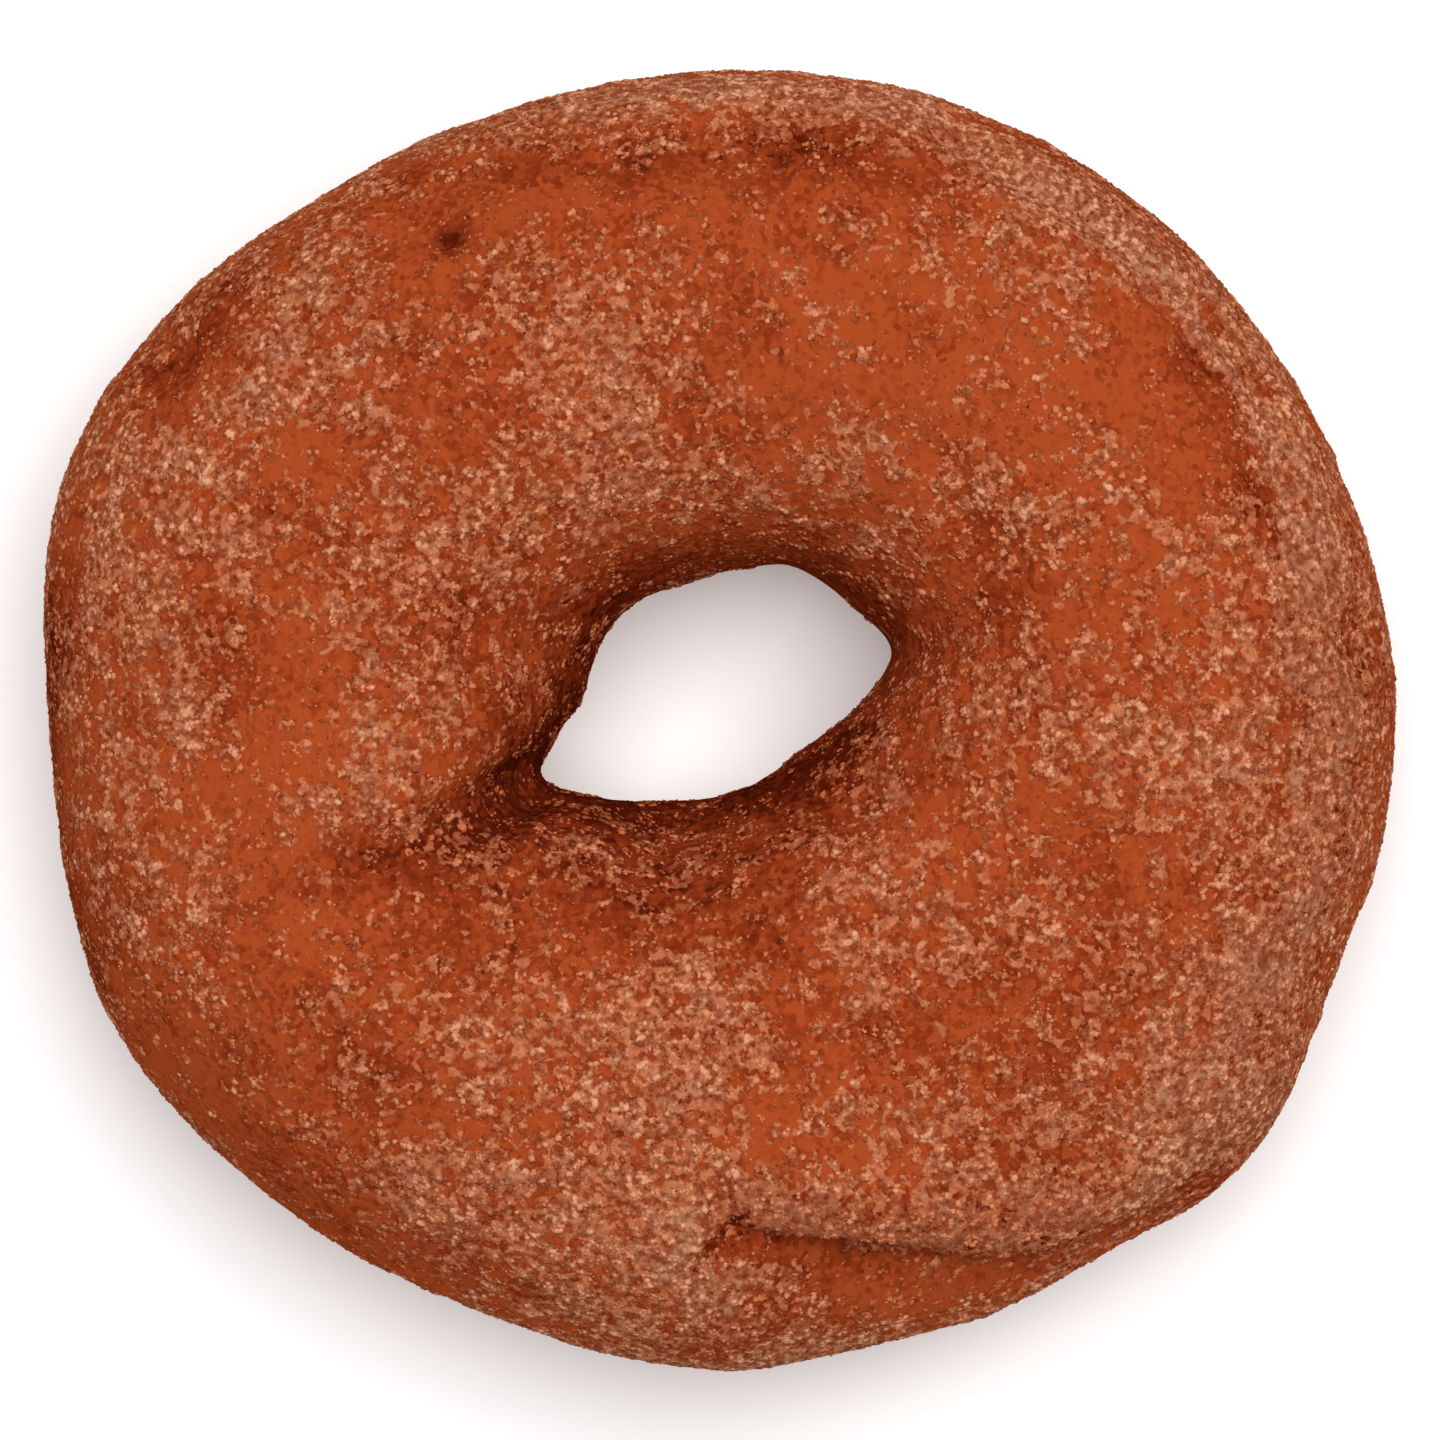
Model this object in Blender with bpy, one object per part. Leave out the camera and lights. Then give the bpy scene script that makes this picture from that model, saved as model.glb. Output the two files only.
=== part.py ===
"""Cinnamon ring doughnut: one ring of fried dough, lying flat on its base.

The frame is in metres with +Z up, and the origin is under the middle of the ring.
+X is the ring's longest way across. Sizes below are in millimetres, angles in degrees.
"""

import math
from collections import namedtuple

import bmesh
import bpy
import numpy as np

Crease = namedtuple("Crease", "path depths half_width")
Dent = namedtuple("Dent", "place depth half_width")

MM = 0.001

# Driving sizes of the ring
HOLE_CENTRE = (-0.3, 2.2)
CROWN_HEIGHT = 31.0
WAIST_HEIGHT = 14.5
BASE_SINK = 1.1
SECTION_POWER = 2.15

# Outline and hole at the waist: angle about the hole's centre, distance from it
OUTLINE = (
    (0, 46.3), (20, 45.0), (45, 43.9), (66, 43.0), (90, 42.0), (110, 41.9), (130, 43.1),
    (145, 45.2), (162, 46.8), (183, 45.4), (196, 46.0), (210, 47.0), (228, 46.1), (250, 45.4),
    (270, 46.4), (282, 46.0), (294, 46.5), (306, 47.1), (318, 48.4), (336, 46.5), (348, 46.6),
)
HOLE = (
    (0, 10.5), (12, 12.1), (30, 10.7), (60, 9.6), (78, 8.3), (105, 7.3), (135, 7.8),
    (168, 8.5), (186, 9.3), (198, 11.4), (207, 13.1), (220, 11.1), (240, 8.7), (262, 7.5),
    (300, 6.9), (324, 7.1), (342, 8.2),
)

# Slow rise and fall round the ring: waves per turn, height, angle of the top
CROWN_SWELL = ((2, 0.35, 120), (3, 0.3, 25), (5, 0.2, 200))
WAIST_SWELL = ((1, 0.7, 250), (2, 0.6, 60), (3, 0.5, 190))

# Creases in the crust: plan points, depth at the first and the last point, half width
CREASES = {
    "hole_corner": Crease(
        path=((-11.5, -3.4), (-15.6, -6.0), (-20.4, -8.8), (-26.6, -10.7), (-32.0, -13.1)),
        depths=(1.7, 0.4),
        half_width=1.9,
    ),
    "below_hole": Crease(
        path=((-3.2, -5.8), (-2.8, -9.0), (-2.2, -13.0)),
        depths=(1.6, 0.6),
        half_width=4.0,
    ),
    "lower_left_arc": Crease(
        path=((-21.8, -16.5), (-17.7, -16.8), (-13.6, -15.1), (-10.0, -12.6)),
        depths=(0.7, 0.6),
        half_width=1.9,
    ),
    "hole_right": Crease(
        path=((15.2, 17.0), (16.7, 12.9), (19.8, 10.8), (24.6, 11.8)),
        depths=(0.8, 0.6),
        half_width=1.8,
    ),
    "right_of_hole": Crease(
        path=((9.4, -5.2), (14.4, -4.3), (21.8, -7.6)),
        depths=(0.9, 0.5),
        half_width=2.4,
    ),
    "lower_right_arc": Crease(
        path=((4.5, -16.5), (8.9, -20.6), (13.7, -21.6), (18.4, -19.2)),
        depths=(0.6, 0.5),
        half_width=2.0,
    ),
    "top_arc": Crease(
        path=((-21.8, 33.3), (-15.0, 36.0), (-4.7, 37.2), (5.5, 38.0), (13.7, 36.2), (18.6, 29.0)),
        depths=(0.7, 0.6),
        half_width=2.5,
    ),
    "right_rim": Crease(
        path=((15.7, 39.4), (25.5, 33.0), (33.6, 26.2), (37.3, 18.5), (38.3, 10.5)),
        depths=(0.9, 0.7),
        half_width=1.7,
    ),
    "lower_left_side": Crease(
        path=((-38.6, -22.0), (-31.6, -30.6), (-21.0, -37.0), (-10.5, -40.6)),
        depths=(0.4, 0.4),
        half_width=4.0,
    ),
    "fold_hook": Crease(
        path=((1.2, -33.4), (-0.3, -34.9), (-1.7, -36.8), (-2.6, -38.6)),
        depths=(1.4, 0.6),
        half_width=1.5,
    ),
}

# Dents: plan point, depth, half width
DENTS = {
    "top_pit": Dent((-18.2, 32.6), 0.9, 1.7),
    "upper_left": Dent((-36.8, 24.4), 0.9, 2.6),
    "upper_right": Dent((32.1, 23.8), 0.8, 2.2),
    "right_side": Dent((43.0, 5.2), 0.9, 2.8),
    "right": Dent((39.6, -1.5), 0.5, 1.8),
}

# The fold at the front, where an upper layer laps over a sunk lobe: its line, as ring and section angles
FOLD_LINE = (
    (250, 58), (262, 61), (271, 66), (280, 61), (287, 56), (292, 50), (297, 41), (304, 34),
    (314, 31), (335, 31),
)
FOLD_ENDS = (268, 274, 308, 322)
LIP_HEIGHT = 0.9
LIP_SET_BACK = 2.4
LIP_HALF_WIDTH = 2.6
LIP_OVERHANG = 1.0
FOLD_DROP = 2.0
FOLD_MOUTH = 1.4
LOBE_REACH = 8.0

# Points of the grid: round the ring, over the upper side, from the outline to the fold, and under the waist
AROUND = 100
OVER = 38
OVER_TO_FOLD = 9
UNDER = 14
FOLD_CROWDING = 0.25

# Height above the waist over which relief grows to its full depth, so that the outlines stay true
RELIEF_FADE = 7.0
FOLD_FADE = 4.5

CRUST_COLOUR = (0.37, 0.10, 0.032, 1.0)
CRUST_ROUGHNESS = 0.7


def clear_scene():
    for obj in list(bpy.data.objects):
        bpy.data.objects.remove(obj, do_unlink=True)


def cubic(start, end, first, last, t):
    """A curve from start to end that leaves with slope first and arrives with slope last."""
    rise = end - start
    return start + t * (first + t * (3 * rise - 2 * first - last + t * (first + last - 2 * rise)))


def round_curve(points, angle):
    """Value at each angle of a closed smooth curve through (angle, value) points."""
    degrees, values = np.array(points, float).T
    before, after = np.roll(np.arange(len(values)), 1), np.roll(np.arange(len(values)), -1)
    slopes = (values[after] - values[before]) / ((degrees[after] - degrees[before]) % 360)
    turn = (np.degrees(angle) - degrees[0]) % 360
    start = np.searchsorted(degrees - degrees[0], turn, side="right") - 1
    end = after[start]
    gap = (degrees[end] - degrees[start]) % 360
    t = (turn + degrees[0] - degrees[start]) / gap
    return cubic(values[start], values[end], slopes[start] * gap, slopes[end] * gap, t)


def swell_at(swells, angle):
    return sum(height * np.cos(waves * (angle - math.radians(top))) for waves, height, top in swells)


def crown_at(angle):
    return CROWN_HEIGHT - sum(height for _, height, _ in CROWN_SWELL) + swell_at(CROWN_SWELL, angle)


def ring_points(angle, section):
    """Points of the plain ring. The section angle is 0 at the outline, 90 on the crown, 180 in the hole."""
    outer, inner = round_curve(OUTLINE, angle), round_curve(HOLE, angle)
    across = np.sign(np.cos(section)) * np.abs(np.cos(section)) ** (2 / SECTION_POWER)
    up = np.abs(np.sin(section)) ** (2 / SECTION_POWER)
    reach = (outer + inner) / 2 + across * (outer - inner) / 2
    waist = WAIST_HEIGHT + swell_at(WAIST_SWELL, angle)
    top = waist + (crown_at(angle) - waist) * up
    bottom = np.maximum(waist - (waist + BASE_SINK) * up, 0)
    height = np.where(np.sin(section) >= 0, top, bottom)
    x = HOLE_CENTRE[0] + reach * np.cos(angle)
    y = HOLE_CENTRE[1] + reach * np.sin(angle)
    return np.stack([x, y, height], -1)


def on_top(plan):
    """The points of the plain ring's upper side that lie over plan points."""
    offset = np.asarray(plan, float) - HOLE_CENTRE
    angle = np.arctan2(offset[..., 1], offset[..., 0])
    outer, inner = round_curve(OUTLINE, angle), round_curve(HOLE, angle)
    across = (2 * np.hypot(offset[..., 0], offset[..., 1]) - outer - inner) / (outer - inner)
    across = np.clip(across, -1, 1)
    section = np.arccos(np.sign(across) * np.abs(across) ** (SECTION_POWER / 2))
    return ring_points(angle, section)


def smooth_path(points, steps=8):
    """Plan points along a smooth open curve through the given ones."""
    points = np.array(points, float)
    slopes = np.gradient(points, axis=0)
    t = np.linspace(0, 1, steps, endpoint=False)[None, :, None]
    curve = cubic(points[:-1, None], points[1:, None], slopes[:-1, None], slopes[1:, None], t)
    return np.vstack([curve.reshape(-1, 2), points[-1:]])


def nearest(points, path):
    """Distance to the nearest point of a path laid on the ring, and that point's place from 0 to 1."""
    line = on_top(smooth_path(path))
    squares = ((points[..., None, :] - line) ** 2).sum(-1)
    return np.sqrt(squares.min(-1)), squares.argmin(-1) / (len(line) - 1)


def ease(t):
    return t * t * (3 - 2 * t)


def bell(distance, half_width):
    return np.exp(-((distance / half_width) ** 2))


def crease_relief(points):
    relief = np.zeros(points.shape[:-1])
    for crease in CREASES.values():
        distance, along = nearest(points, crease.path)
        relief -= np.interp(along, (0, 1), crease.depths) * bell(distance, crease.half_width)
    for dent in DENTS.values():
        relief -= dent.depth * bell(np.linalg.norm(points - on_top(dent.place), axis=-1), dent.half_width)
    return relief


def fold_section_angle(angle):
    """Section angle of the fold's line, which every row of the grid keeps as one of its columns."""
    return np.radians(round_curve(FOLD_LINE, angle))


def fold_strength(angle):
    """0 away from the fold, rising smoothly to 1 along it."""
    return ease(np.interp(np.degrees(angle) % 360, FOLD_ENDS, (0, 1, 1, 0)))


def fold_shift(distance):
    """Shift out of the crust and down the section, by distance down the section from the fold's line."""
    mouth = np.clip(distance / FOLD_MOUTH, 0, 1)
    past = np.maximum(distance - FOLD_MOUTH, 0)
    lip = LIP_HEIGHT * bell(distance + LIP_SET_BACK, LIP_HALF_WIDTH)
    outward = lip - FOLD_DROP * ease(mouth) * np.exp(-((past / LOBE_REACH) ** 2))
    back = np.minimum(distance, 0)
    downward = LIP_OVERHANG * (1 - 2 * mouth) * bell(back, LIP_HALF_WIDTH) * np.exp(-past / FOLD_MOUTH)
    return outward, downward


def surface_frame(grid):
    """Unit directions out of a closed grid of points, and down its section towards the outline."""
    around = np.roll(grid, -1, axis=0) - np.roll(grid, 1, axis=0)
    over = np.roll(grid, -1, axis=1) - np.roll(grid, 1, axis=1)
    normals = np.cross(around, over)
    normals /= np.linalg.norm(normals, axis=-1, keepdims=True)
    return normals, -over / np.linalg.norm(over, axis=-1, keepdims=True)


def grid_angles():
    """Ring angle and section angle of each point, closer together along the fold."""
    even = np.linspace(0, 2 * np.pi, AROUND, endpoint=False)
    middle = math.radians(sum(FOLD_ENDS) / len(FOLD_ENDS))
    angle = (even - FOLD_CROWDING * np.sin(even - middle))[:, None]
    fold = fold_section_angle(angle)
    to_fold = np.linspace(0, 1, OVER_TO_FOLD, endpoint=False) * fold
    from_fold = fold + np.linspace(0, 1, OVER - OVER_TO_FOLD, endpoint=False) * (np.pi - fold)
    under = np.linspace(np.pi, 2 * np.pi, UNDER, endpoint=False) + 0 * fold
    return angle, np.concatenate([to_fold, from_fold, under], axis=1)


def doughnut_grid():
    """The ring's points, in rows round the ring and columns over its section."""
    angle, section = grid_angles()
    plain = ring_points(angle, section)
    normals, down = surface_frame(plain)
    above_waist = plain[..., 2] - WAIST_HEIGHT
    relief = crease_relief(plain) * ease(np.clip(above_waist / RELIEF_FADE, 0, 1))
    steps = np.linalg.norm(np.diff(plain, axis=1, prepend=plain[:, :1]), axis=-1)
    run = np.cumsum(steps, axis=1)
    outward, downward = fold_shift(run[:, OVER_TO_FOLD, None] - run)
    strength = fold_strength(angle) * ease(np.clip(above_waist / FOLD_FADE, 0, 1))
    shift = normals * (relief + outward * strength)[..., None]
    return plain + shift + down * (downward * strength)[..., None]


def crust_material():
    material = bpy.data.materials.new("crust")
    material.use_nodes = True
    shader = material.node_tree.nodes["Principled BSDF"]
    shader.inputs["Base Color"].default_value = CRUST_COLOUR
    shader.inputs["Roughness"].default_value = CRUST_ROUGHNESS
    shader.inputs["Metallic"].default_value = 0.0
    return material


def make_doughnut():
    grid = doughnut_grid() * MM
    rows, columns = grid.shape[:2]
    bm = bmesh.new()
    verts = [[bm.verts.new(point) for point in row] for row in grid]
    for i in range(rows):
        for j in range(columns):
            ahead, along = (i + 1) % rows, (j + 1) % columns
            bm.faces.new((verts[i][j], verts[ahead][j], verts[ahead][along], verts[i][along]))
    mesh = bpy.data.meshes.new("doughnut")
    bm.to_mesh(mesh)
    bm.free()
    mesh.shade_smooth()
    mesh.materials.append(crust_material())
    doughnut = bpy.data.objects.new("doughnut", mesh)
    bpy.context.collection.objects.link(doughnut)
    return doughnut


clear_scene()
make_doughnut()
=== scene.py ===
"""Looks of the cinnamon ring doughnut: a fine crust on the frame's ring, and the sugar and cinnamon on it."""

import math
from collections import namedtuple

import bpy
import numpy as np
from mathutils import Euler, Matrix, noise
from mathutils.bvhtree import BVHTree


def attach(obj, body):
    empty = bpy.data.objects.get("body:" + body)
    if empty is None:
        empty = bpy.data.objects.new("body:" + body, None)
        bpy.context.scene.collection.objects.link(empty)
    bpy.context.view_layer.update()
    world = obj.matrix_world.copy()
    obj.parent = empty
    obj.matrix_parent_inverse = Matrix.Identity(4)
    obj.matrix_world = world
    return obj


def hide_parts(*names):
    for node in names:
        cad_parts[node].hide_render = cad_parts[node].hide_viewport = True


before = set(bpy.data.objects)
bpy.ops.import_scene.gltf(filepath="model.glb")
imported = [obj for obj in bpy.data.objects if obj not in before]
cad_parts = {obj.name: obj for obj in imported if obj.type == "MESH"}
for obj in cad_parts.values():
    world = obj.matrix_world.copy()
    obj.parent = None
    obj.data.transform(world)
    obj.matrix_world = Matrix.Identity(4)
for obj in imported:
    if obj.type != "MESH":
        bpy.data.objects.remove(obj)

Crease = namedtuple("Crease", "path depths half_width")
Dent = namedtuple("Dent", "place depth half_width")
Patch = namedtuple("Patch", "path half_width amount")
Surface = namedtuple("Surface", "points normals sugar toast")

NODE = "doughnut"
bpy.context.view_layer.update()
MM = 0.001

# The ring's driving sizes in millimetres, as the solid has them
HOLE_CENTRE = (-0.3, 2.2)
CROWN_HEIGHT = 31.0
WAIST_HEIGHT = 14.5
BASE_SINK = 1.1
SECTION_POWER = 2.15

# Outline and hole at the waist: angle about the hole's centre, distance from it
OUTLINE = (
    (0, 46.3), (20, 45.0), (45, 43.9), (66, 43.0), (90, 42.0), (110, 41.9), (130, 43.1),
    (145, 45.2), (162, 46.8), (183, 45.4), (196, 46.0), (210, 47.0), (228, 46.1), (250, 45.4),
    (270, 46.4), (282, 46.0), (294, 46.5), (306, 47.1), (318, 48.4), (336, 46.5), (348, 46.6),
)
HOLE = (
    (0, 10.5), (12, 12.1), (30, 10.7), (60, 9.6), (78, 8.3), (105, 7.3), (135, 7.8),
    (168, 8.5), (186, 9.3), (198, 11.4), (207, 13.1), (220, 11.1), (240, 8.7), (262, 7.5),
    (300, 6.9), (324, 7.1), (342, 8.2),
)

# Slow rise and fall round the ring: waves per turn, height, angle of the top
CROWN_SWELL = ((2, 0.35, 120), (3, 0.3, 25), (5, 0.2, 200))
WAIST_SWELL = ((1, 0.7, 250), (2, 0.6, 60), (3, 0.5, 190))

# Plan points that several forms share: the four sides of the hole's upper rim, and the pit at the top
HOLE_TOP = ((-9.0, 6.4), (-1.0, 10.6), (6.0, 10.4), (11.6, 5.4))
HOLE_LEFT = ((-8.2, 6.4), (-9.4, 2.0), (-12.4, -3.0))
HOLE_RIGHT = ((11.8, 5.0), (7.0, -1.0), (2.0, -5.0))
HOLE_BOTTOM = ((-12.0, -4.6), (-6.0, -5.4), (0.0, -5.4))
TOP_PIT = (-18.2, 32.6)

# Creases in the crust: plan points, depth at the first and the last point, half width
CREASES = {
    "hole_corner": Crease(
        path=((-11.5, -3.4), (-15.6, -6.0), (-20.4, -8.8), (-26.6, -10.7), (-32.0, -13.1)),
        depths=(1.7, 0.4),
        half_width=1.9,
    ),
    "below_hole": Crease(
        path=((-3.2, -5.8), (-2.8, -9.0), (-2.2, -13.0)),
        depths=(1.3, 0.6),
        half_width=4.0,
    ),
    "lower_left_arc": Crease(
        path=((-21.8, -16.5), (-17.7, -16.8), (-13.6, -15.1), (-10.0, -12.6)),
        depths=(0.7, 0.6),
        half_width=1.9,
    ),
    "hole_right": Crease(
        path=((15.2, 17.0), (16.7, 12.9), (19.8, 10.8), (24.6, 11.8)),
        depths=(0.8, 0.6),
        half_width=1.8,
    ),
    "right_of_hole": Crease(
        path=((9.4, -5.2), (14.4, -4.3), (21.8, -7.6)),
        depths=(0.9, 0.5),
        half_width=2.4,
    ),
    "lower_right_arc": Crease(
        path=((4.5, -16.5), (8.9, -20.6), (13.7, -21.6), (18.4, -19.2)),
        depths=(0.6, 0.5),
        half_width=2.0,
    ),
    "top_arc": Crease(
        path=((-21.8, 33.3), (-15.0, 36.0), (-4.7, 37.2), (5.5, 38.0), (13.7, 36.2), (18.6, 29.0)),
        depths=(0.7, 0.6),
        half_width=2.5,
    ),
    "right_rim": Crease(
        path=((15.7, 39.4), (25.5, 33.0), (33.6, 26.2), (37.3, 18.5), (38.3, 10.5)),
        depths=(0.9, 0.7),
        half_width=1.7,
    ),
    "lower_left_side": Crease(
        path=((-38.6, -22.0), (-31.6, -30.6), (-21.0, -37.0), (-10.5, -40.6)),
        depths=(0.4, 0.4),
        half_width=4.0,
    ),
    "rim_ledge": Crease(
        path=((28.8, 28.6), (31.0, 26.6), (32.6, 24.5), (34.1, 22.5), (35.8, 19.4)),
        depths=(0.7, 0.4),
        half_width=0.8,
    ),
    "fold_hook": Crease(
        path=((1.0, -33.6), (-0.2, -35.0), (-1.6, -37.4)),
        depths=(0.9, 0.4),
        half_width=0.6,
    ),
}

# Dents: plan point, depth, half width
DENTS = {
    "top_pit": Dent(TOP_PIT, 0.9, 1.7),
    "upper_left": Dent((-36.8, 24.4), 0.9, 2.6),
    "upper_right": Dent((32.1, 23.8), 0.4, 2.2),
    "right_side": Dent((43.0, 5.2), 0.9, 2.8),
    "right": Dent((39.6, -1.5), 0.5, 1.8),
}

# The fold at the front, where an upper layer laps over a sunk lobe: its line, as ring and section angles, and
# the ring angles where it starts, is full, begins to fade and ends
FOLD_LINE = (
    (250, 58), (262, 61), (271, 66), (280, 61), (287, 56), (292, 50), (297, 41), (304, 34),
    (314, 31), (335, 31),
)
FOLD_ENDS = (270, 281.5, 308, 322)

# The raised lip above the fold's line, and the sunk lobe below it
LIP_HEIGHT = 0.9
LIP_SET_BACK = 2.4
LIP_HALF_WIDTH = 2.6
LIP_OVERHANG = 0.6
FOLD_DROP = 2.0
FOLD_MOUTH = 1.4
LOBE_REACH = 8.0

# Heights above the waist over which creases and the fold grow to their full depth, so that the outlines stay
# true, and the height above the floor over which fine unevenness does
RELIEF_FADE = 7.0
FOLD_FADE = 4.5
FOOT_FADE = 3.0

# The fine crust's grid: round the ring, over the upper side, from the outline to the fold, and below
AROUND = 384
OVER = 186
OVER_TO_FOLD = 44
UNDER = 70
FOLD_CROWDING = 0.25

# Fine unevenness of the crust: size of the waves and their height, and how far a full coating raises it
CRUST_WAVES = ((7.0, 0.22), (3.2, 0.09), (1.5, 0.05))
SUGAR_CAKE = 0.12

# How far the crust lies inside the solid, so that the grains on it reach the solid's size
COAT = 0.15

# Steps between the places that waves are read at, by seed and by number, so that no two are alike
WAVE_SEED_STEP = 37.3
WAVE_NUMBER_STEP = 11.9

# How much sugar lies where, 1 being a full coating and FULLEST the thickest: the usual amount, waves of it as
# size and height, and named patches, each with its path, its half width and what it adds
SUGAR_USUAL = 0.44
FULLEST = 1.3
SUGAR_WAVES = ((9.0, 0.17), (3.6, 0.3), (1.7, 0.6), (0.9, 0.6))
SUGAR_PATCHES = {
    "bare_top": Patch(((-21.0, 34.0), (-8.0, 35.5), (5.0, 36.5), (14.5, 35.0)), 3.6, -0.58),
    "bare_top_left": Patch(((-21.0, 29.0), (-18.5, 25.0), (-17.0, 20.0)), 3.2, -0.4),
    "bare_pit": Patch((TOP_PIT,), 1.5, -0.6),
    "bare_left_top": Patch(((-28.2, 17.8),), 2.6, -0.6),
    "bare_far_left": Patch(((-37.6, 22.6), (-34.4, 26.0)), 2.6, -0.65),
    "thin_top": Patch(((0.5, 30.0), (6.0, 27.0), (13.0, 27.0)), 4.6, -0.42),
    "thin_top_right": Patch(((5.0, 20.5), (14.0, 21.0), (22.0, 20.0)), 4.2, -0.45),
    "bare_right_top": Patch(((28.0, 24.0), (31.5, 18.0)), 3.4, -0.75),
    "thin_right_of_hole": Patch(((15.5, 9.5), (22.0, 9.0), (29.0, 9.5)), 3.6, -0.35),
    "bare_hole_top": Patch(HOLE_TOP, 6.0, -0.42),
    "thin_hole_left": Patch(HOLE_LEFT, 5.5, -0.05),
    "bare_hole_right": Patch(HOLE_RIGHT, 5.0, -0.56),
    "bare_hole_bottom": Patch(HOLE_BOTTOM, 4.6, -0.36),
    "bare_hole_corner": Patch(((-11.0, -3.0), (-15.0, -5.4)), 3.4, -0.4),
    "thin_left_of_hole": Patch(((-17.4, 6.4),), 3.4, -0.12),
    "bare_left": Patch(((-30.0, 3.4), (-29.0, -1.4)), 3.2, -0.6),
    "bare_left_low": Patch(((-33.0, -6.2), (-29.0, -12.4), (-31.0, -20.0), (-27.0, -27.0)), 4.4, -0.4),
    "bare_arc_left": Patch(((-22.0, -13.0), (-14.0, -15.4), (-6.0, -14.0)), 3.4, -0.3),
    "thin_below_hole": Patch(((-3.0, -11.0), (3.0, -13.0)), 3.6, -0.25),
    "thin_right_low": Patch(((16.0, -5.0), (23.0, -8.0), (29.0, -11.0)), 3.4, -0.3),
    "bare_arc_right": Patch(((5.0, -19.0), (10.9, -22.6), (18.6, -19.6)), 2.8, -0.4),
    "thin_low_left": Patch(((-22.0, -20.0), (-20.0, -27.0)), 3.4, -0.15),
    "bare_lower_left_edge": Patch(((-37.6, -22.0), (-30.6, -31.0), (-20.6, -37.6)), 4.0, -0.47),
    "bare_under_lip": Patch(((2.4, -35.4), (7.6, -36.8)), 1.1, -0.55),
    "bare_lobe": Patch(((8.4, -38.4), (14.0, -39.2), (20.0, -38.6)), 2.4, -0.55),
    "dense_right_edge": Patch(((43.2, 8.0), (44.0, 3.0)), 1.4, 0.18),
    "bare_right_corner": Patch(((40.4, -17.4),), 2.0, -0.18),
    "bare_left_edge": Patch(((-43.4, 14.0), (-45.0, 2.0), (-43.4, -12.0), (-38.6, -22.0)), 2.2, -0.38),
    "dense_top": Patch(((-8.0, 27.0), (-7.0, 21.0), (-4.6, 17.0)), 4.8, 0.28),
    "dense_top_left": Patch(((-27.0, 29.0), (-30.0, 24.6), (-35.0, 18.0)), 3.0, 0.3),
    "dense_far_left": Patch(((-39.0, 16.0), (-40.0, 9.0), (-37.0, 4.0)), 4.2, 0.22),
    "dense_left_mid": Patch(((-26.0, 10.0), (-20.0, 9.0)), 3.4, 0.1),
    "dense_left": Patch(((-24.6, -4.0), (-20.6, -4.6)), 3.2, 0.2),
    "dense_left_low": Patch(((-38.0, -8.0), (-39.0, -15.0)), 2.6, 0.05),
    "thin_lower_right": Patch(((8.6, -8.6), (12.6, -13.6)), 3.2, -0.05),
    "dense_right": Patch(((26.0, -1.5), (33.0, -3.0)), 3.0, 0.3),
    "dense_hole_right": Patch(((18.8, 15.2),), 1.9, 0.5),
    "dense_top_right": Patch(((13.2, 32.0),), 2.4, 0.3),
    "dense_top_rim_left": Patch(((-27.0, 37.0), (-19.0, 40.0)), 2.6, 0.6),
    "dense_top_rim": Patch(((-11.0, 41.6), (0.0, 42.6), (12.3, 41.4)), 2.6, 0.85),
    "dense_right_rim": Patch(
        ((18.0, 38.4), (26.0, 33.6), (33.4, 27.4), (38.4, 19.6), (41.0, 10.0)), 3.0, 0.9
    ),
    "dense_right_side": Patch(((40.0, 6.0), (41.4, -3.0), (40.0, -12.0)), 3.6, 0.78),
    "dense_right_bottom": Patch(((36.0, -18.0), (33.0, -25.0), (37.0, -27.0)), 4.6, 0.85),
    "dense_bottom": Patch(((-4.0, -21.0), (-4.4, -30.0), (-5.0, -38.0)), 4.8, 0.4),
    "dense_bottom_left": Patch(((-20.0, -31.4), (-13.0, -33.0)), 3.2, 0.4),
    "dense_bottom_right": Patch(((14.0, -27.0), (23.0, -25.0)), 3.4, 0.1),
    "dense_lip": Patch(((2.6, -32.0), (13.0, -33.4), (24.0, -32.4), (32.0, -28.4)), 2.2, 0.75),
    "bare_ledge": Patch(((29.2, 26.6), (31.6, 24.2), (33.6, 21.6)), 1.5, -0.8),
    "dense_ledge": Patch(
        ((20.4, 38.9), (26.8, 33.3), (31.5, 27.4), (34.7, 23.2), (37.3, 17.6), (38.6, 11.0)), 0.6, 0.9
    ),
    "thin_past_ledge": Patch(((32.9, 28.0), (35.3, 25.0), (37.6, 21.3)), 1.1, -1.0),
    "thin_above_lip": Patch(((2.7, -28.8), (8.0, -29.3), (13.0, -29.8)), 1.8, -0.3),
    "dense_bottom_edge": Patch(((-9.0, -43.0), (-1.0, -44.0), (8.0, -43.0)), 2.6, 1.05),
    "dense_bottom_low_left": Patch(((-11.0, -39.2), (-6.0, -40.8)), 2.2, 0.5),
    "bare_hook": Patch(((0.4, -34.2), (-0.6, -35.4), (-1.8, -37.4)), 0.8, -0.55),
    "dense_hook": Patch(((-2.0, -33.4), (-3.4, -36.0)), 1.4, 0.6),
    "dense_lobe_left": Patch(((-1.0, -38.0), (2.6, -38.6), (4.0, -41.0)), 2.6, 0.3),
}

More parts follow.
